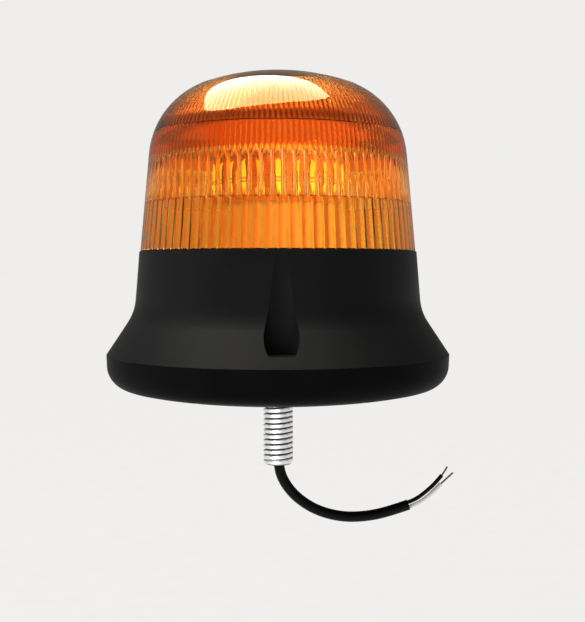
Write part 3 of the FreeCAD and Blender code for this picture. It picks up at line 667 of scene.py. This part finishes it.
def strand_bundle(name, route, material, strands=7, width=0.28 * MM):
    """Bare strands twisted round a middle one along the route, a little uneven at the end."""
    twist, unevenness = 1.2, 0.1
    guide = new_object(f"{name}_guide", route_curve(f"{name}_guide", route))
    points = [v.co.copy() for v in bpy.data.meshes.new_from_object(guide).vertices]
    bpy.data.objects.remove(guide)
    joined = bmesh.new()
    across = Vector((0, 1, 0))
    for number in range(strands):
        outer = number > 0    # the first strand runs along the middle
        curve = bpy.data.curves.new(f"{name}_{number}", "CURVE")
        curve.dimensions = "3D"
        spline = curve.splines.new("NURBS")
        spline.points.add(len(points) - 1)
        for k, point in enumerate(points):
            share = k / (len(points) - 1)
            ahead = points[min(k + 1, len(points) - 1)] - points[max(k - 1, 0)]
            side = ahead.cross(across).normalized()
            angle = math.tau * (number / (strands - 1) + share * twist)
            pull = 1 - unevenness * math.cos(number * 2.4) * share
            away = (STRAND_WIDTH - width) / 2 * outer * pull
            place = point + (side * math.cos(angle) + across * math.sin(angle)) * away
            spline.points[k].co = (*place, 1)
        spline.order_u = 3
        spline.use_endpoint_u = True
        spline.resolution_u = 2
        curve.bevel_depth = width / 2
        curve.bevel_resolution = 2
        curve.use_fill_caps = True
        strand = new_object(f"{name}_{number}", curve)
        joined.from_mesh(bpy.data.meshes.new_from_object(strand))
        bpy.data.objects.remove(strand)
    mesh = bpy.data.meshes.new(name)
    joined.to_mesh(mesh)
    joined.free()
    return new_object(name, smoothed(mesh, 50), material)


def make_cable():
    """Sheath, two cores and their bare ends, all lying as they hang from the stud."""
    black = cable_plastic("black jacket", (0.0025, 0.0025, 0.003), 0.38, 0.12)
    white = cable_plastic("white jacket", (1.0, 0.96, 0.93), 0.4)
    copper = plated_metal("copper strand", (0.36, 0.24, 0.2), 0.35)
    sheath = new_object("sheath", route_curve("sheath", SHEATH_ROUTE, SHEATH_WIDTH), black)
    pieces = [(sheath, "cable_sheath", "sheath_pvc")]
    for name, route, node, slot, finish in (
            ("core_black", BLACK_CORE_ROUTE, "black_core", "core_black", black),
            ("core_white", WHITE_CORE_ROUTE, "white_core", "core_white", white)):
        core = new_object(name, route_curve(name, route, CORE_WIDTH), finish)
        pieces.append((core, node, slot))
    for name, route, node in (("strands_black", BLACK_STRAND_ROUTE, "black_strands"),
                              ("strands_white", WHITE_STRAND_ROUTE, "white_strands")):
        pieces.append((strand_bundle(name, route, copper), node, "copper"))
    for piece, node, slot in pieces:
        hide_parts(node)
        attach(piece, "base")


# ---- lens ---------------------------------------------------------------------------------------

def wall_at(height, depth=0.0):
    """Radius and height of a point on the leaning wall, this deep behind its outer face."""
    return (LENS_RADIUS - depth + WALL_LEAN * (height - LENS_FOOT), height)


def make_lens():
    """Smooth outside; flutes, prisms, a ridge and fine ribs inside; below, a plain skirt without
    the bayonet lugs, which the collar hides."""
    skirt, skirt_in, skirt_foot = 61.2 * MM, 58.6 * MM, 57.1 * MM
    shoulder, crown, top = (SHOULDER_RADIUS, SHOULDER), (38.5 * MM, 142.15 * MM), 149.4 * MM
    shoulder_round = 37.7 * MM
    rise = top - crown[1]
    cap_round = (crown[0] ** 2 + rise ** 2) / (2 * rise)
    lean = math.atan2(crown[0], cap_round - rise)
    crown_in = (crown[0] - LENS_WALL * math.sin(lean), crown[1] - LENS_WALL * math.cos(lean))

    outside = [wall_at(LENS_FOOT + (SHOULDER - LENS_FOOT) * k / 6) for k in range(6)]
    outside += arc(shoulder, crown, shoulder_round, 16)
    outside += arc(crown, (0, top), cap_round, 8)[1:-1]

    half_step = 0.25 * MM
    heights = (LENS_FOOT + NECK_TOP, LENS_FOOT + NECK_TOP + half_step,
               LEDGE - half_step, LEDGE + half_step, LEDGE + 5 * MM, LEDGE + 10 * MM,
               PRISM_TOP - half_step, PRISM_TOP + half_step)
    ribbed = [wall_at(height, LENS_WALL) for height in heights]
    dome = arc((shoulder[0] - LENS_WALL, shoulder[1]), crown_in, shoulder_round - LENS_WALL, 14)
    dome += arc(crown_in, (0, top - LENS_WALL), cap_round - LENS_WALL, 8)[1:-1]
    ribbed += [point for point in dome if point[1] < RING - 3 * MM]
    below_ridge, ridge = ribbed[-1][0], 0.7 * MM
    ribbed += [(below_ridge - 0.4 * MM, RING - 2.2 * MM),
               (below_ridge - 0.5 * MM - ridge, RING - 1.8 * MM),
               (below_ridge - 1.6 * MM - ridge, RING + 1.6 * MM)]
    ribbed += [point for point in dome if point[1] > RING + 2 * MM]

    plain = [(skirt_in, skirt_foot), (skirt, skirt_foot), (skirt, LENS_FOOT), *outside,
             (0, top), (0, top - LENS_WALL)]
    neck = [ribbed[0], (skirt_in, LENS_FOOT - NECK_DROP)]
    outline = [(radius, height, 0) for radius, height in (*plain, *reversed(ribbed[1:]), *neck)]
    marks = [0.0] * len(plain) + [1.0] * (len(ribbed) - 1) + [0.0] * len(neck)
    mesh = revolved("lens_shell", outline, FLUTES * FLUTE_COLUMNS, marks)
    piece = shaped("lens_shell", mesh, lens_rib_tree(), amber_plastic("clear amber"), ribs=FLUTES,
                   first_window=FIRST_WINDOW / 360, flute=0.55 * MM, prism=2.6 * MM, fine=0.22 * MM,
                   foot=LENS_FOOT + NECK_TOP, ledge=LEDGE, prism_top=PRISM_TOP,
                   fade_from=138 * MM, fade_to=149 * MM)
    smoothed(piece.data, 24)
    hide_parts("lens")
    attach(piece, "lens")


# ---- stud ---------------------------------------------------------------------------------------

def thread_metal(name):
    """Bright plated thread with painted shade in the roots of the grooves, but not in the bore."""
    finish = Finish(name, (0.93, 0.93, 0.94), 0.4, metallic=1.0)
    _, distance, _ = finish.turned_place()
    # Painted shade darkens the roots of the grooves
    root_shade = 1 - distance.ramp(STUD_RADIUS - 0.85 * MM, STUD_RADIUS - 0.25 * MM)
    root_shade = root_shade * distance.above(STUD_BORE + 0.9 * MM)
    cloud = finish.noise(3 * MM, 3)
    bright = finish.mix(cloud.spread(0, 1), (0.86, 0.86, 0.87), (0.98, 0.98, 0.98))
    finish.vary("Base Color", finish.mix(root_shade, bright, (0.02, 0.02, 0.02)))
    finish.vary("Roughness", cloud.spread(0.38, 0.5))
    finish.bump(finish.noise(0.2 * MM, 2), 0.01 * MM)
    return finish.material


def make_stud():
    """Hollow stud with a rolled thread, plain shoulder and hexagon head."""
    chamfer, shoulder, across_flats = 1.0 * MM, 7.5 * MM, 22.0 * MM
    thread_foot, thread_top, shoulder_foot = STUD_END + chamfer, 0.2 * MM, 0.5 * MM
    seat, head_top = 8.0 * MM, 16.0 * MM
    rows, run_in, run_out = 168, 12, 6    # mesh rows of the thread, of its start and of its end
    rings = [(STUD_BORE, STUD_END, 0), (STUD_RADIUS - chamfer, STUD_END, 0),
             (STUD_RADIUS, thread_foot, 0)]
    marks = [0.0, 0.0, 0.3]
    for k in range(1, rows + 1):
        rings.append((STUD_RADIUS, thread_foot + (thread_top - thread_foot) * k / rows, 0))
        marks.append(min(1.0, k / run_in, (rows - k) / run_out))
    head = across_flats / math.sqrt(3)
    rings += [(STUD_RADIUS, shoulder_foot, 0), (shoulder, shoulder_foot, 0), (shoulder, seat, 0),
              (head, seat, 6), (head, head_top, 6), (STUD_BORE, head_top, 0)]
    marks += [0.0] * 6
    mesh = revolved("stud_body", rings, 96, marks)
    piece = shaped("stud_body", mesh, thread_tree(), thread_metal("bright zinc"),
                   pitch=THREAD_PITCH, depth=THREAD_DEPTH)
    smoothed(piece.data, 35)
    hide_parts("stud")
    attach(piece, "base")
    glint = soft_box("stud light", place=(-0.25, -0.6, -0.12), aim=(0, 0, -18 * MM), width=0.4,
                     height=0.4, power=3)
    glint.light_linking.receiver_collection = bpy.data.collections.new("lit by the stud light")
    glint.light_linking.receiver_collection.objects.link(piece)


# ---- screws -------------------------------------------------------------------------------------

def screw_mesh(name, head_radius, seat, face, shank_radius, end):
    """A screw on the axis with a rounded head, hexagon socket and plain shank.  The head lies
    between the heights seat and face, and its socket opens at the face."""
    up = 1 if face > seat else -1
    depth = abs(face - seat)
    edge = min(0.3 * MM, depth * 0.25)
    socket = head_radius * 0.5
    rings = [(0, end, 0), (shank_radius * 0.8, end, 0), (shank_radius, end + up * 0.4 * MM, 0),
             (shank_radius, seat, 0), (head_radius, seat, 0),
             (head_radius, face - up * edge, 0), (head_radius - edge, face, 0),
             (socket * 1.15, face, 0), (socket, face - up * edge * 0.5, 6),
             (socket, face - up * depth * 0.6, 6), (0, face - up * depth * 0.65, 0)]
    return revolved(name, rings, 36)


SCREW_SETS = {
    # node: circle, count, first angle, head radius, head seat, head face, shank radius, shank end;
    # millimetres and degrees
    "tray_screws": (66, 6, 0, 3.3, 5, 3, 1.45, 21),
    "clamp_screws": (18.5, 4, 0, 2.8, 18, 19.8, 1.45, 9),
    "deck_screws": (59.5, 3, 60, 1.9, 50, 48.2, 1.5, 52.35),
    "tower_screws": (24, 3, 60, 3.0, 50, 48, 1.45, 60.4),
    "cap_screws": (24, 3, 60, 2.6, 114, 115.6, 1.2, 105),
    "board_screws": (39, 4, 45, 2.8, 38, 36, 1.45, 46),
}


def make_screws():
    """Six sets of socket screws, each evenly on its own circle."""
    zinc = plated_metal("zinc screw", (0.72, 0.73, 0.74), 0.32)
    tree = circle_tree()
    for node, (circle, count, first, *sizes) in SCREW_SETS.items():
        mesh = screw_mesh(f"{node}_one", *[size * MM for size in sizes])
        piece = shaped(f"{node}_socket_head", mesh, tree, zinc, count=count, radius=circle * MM,
                       first=math.radians(first))
        smoothed(piece.data, 35)
        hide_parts(node)
        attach(piece, "base")


# ---- pieces that keep their shape ---------------------------------------------------------------

def smooth_copy(node, material):
    """A merged, smoothly shaded copy of a node, in its place."""
    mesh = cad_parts[node].data.copy()
    build = bmesh.new()
    build.from_mesh(mesh)
    bmesh.ops.remove_doubles(build, verts=build.verts, dist=0.002 * MM)
    build.to_mesh(mesh)
    build.free()
    piece = new_object(f"{node}_skin", smoothed(mesh, 28), material)
    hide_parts(node)
    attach(piece, "base")


def paint(node, material):
    """Give a node its finish and leave its shape alone."""
    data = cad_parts[node].data
    data.materials.clear()
    data.materials.append(material)


def make_fixed_pieces():
    """Everything that keeps its drawn shape: the casing, the seals and what is inside."""
    housing = moulded_black("housing moulding", tone=0.0055, roughness=0.5, gloss=0.1)
    tray = moulded_black("tray moulding", tone=0.0035, roughness=0.5, gloss=0.02)
    paint("housing", housing)
    smooth_copy("base_tray", tray)
    paint("mounting_pad", soft_rubber("pad rubber", 0.02, 4 * MM))
    seal = soft_rubber("seal rubber", 0.012)
    for node in ("tray_seal", "stud_seal", "lens_gasket", "cable_grommet"):
        paint(node, seal)
    paint("vent_plug", plain_plastic("vent nylon", (0.09, 0.09, 0.095)))
    paint("cable_tie", plain_plastic("tie nylon", (0.55, 0.53, 0.48)))
    paint("clamp_plate", plated_metal("plate steel", (0.62, 0.62, 0.63), 0.4))
    sheath = cable_plastic("inner jacket", (0.006, 0.006, 0.0065), 0.4)
    for node in ("cable_inner", "supply_core_black"):
        paint(node, sheath)
    paint("supply_core_white", cable_plastic("inner white jacket", (0.78, 0.74, 0.68), 0.4))
    paint("head_leads", cable_plastic("lead jacket", (0.5, 0.03, 0.02), 0.4))
    paint("deck", plain_plastic("deck plastic", (0.88, 0.86, 0.80), 0.4))
    paint("light_tower", plain_plastic("white coated tower", (0.9, 0.88, 0.82), 0.45))
    paint("strip_board", sleeve_laminate("sleeve laminate"))
    paint("light_strips", phosphor_with_painted_glow("strip phosphor"))
    paint("tower_cap", plain_plastic("cap plastic", (0.92, 0.88, 0.8), 0.3))
    paint("driver_board", circuit_board("driver laminate", (0.01, 0.12, 0.05)))
    paint("board_posts", plated_metal("post brass", (0.8, 0.62, 0.3), 0.35))
    paint("terminal_block", plain_plastic("terminal plastic", (0.04, 0.22, 0.09)))
    paint("terminal_screws", plated_metal("terminal screw steel", (0.7, 0.7, 0.71), 0.3))
    paint("capacitors", plain_plastic("capacitor sleeve", (0.015, 0.02, 0.05), 0.35))
    paint("inductor", plain_plastic("ferrite block", (0.03, 0.03, 0.032), 0.7))
    for node in ("driver_chip", "surge_diode"):
        paint(node, plain_plastic(f"{node} epoxy", (0.012, 0.012, 0.013), 0.6))


make_camera()
make_cable()
make_studio()
make_stud()
make_screws()
make_fixed_pieces()
make_lens()
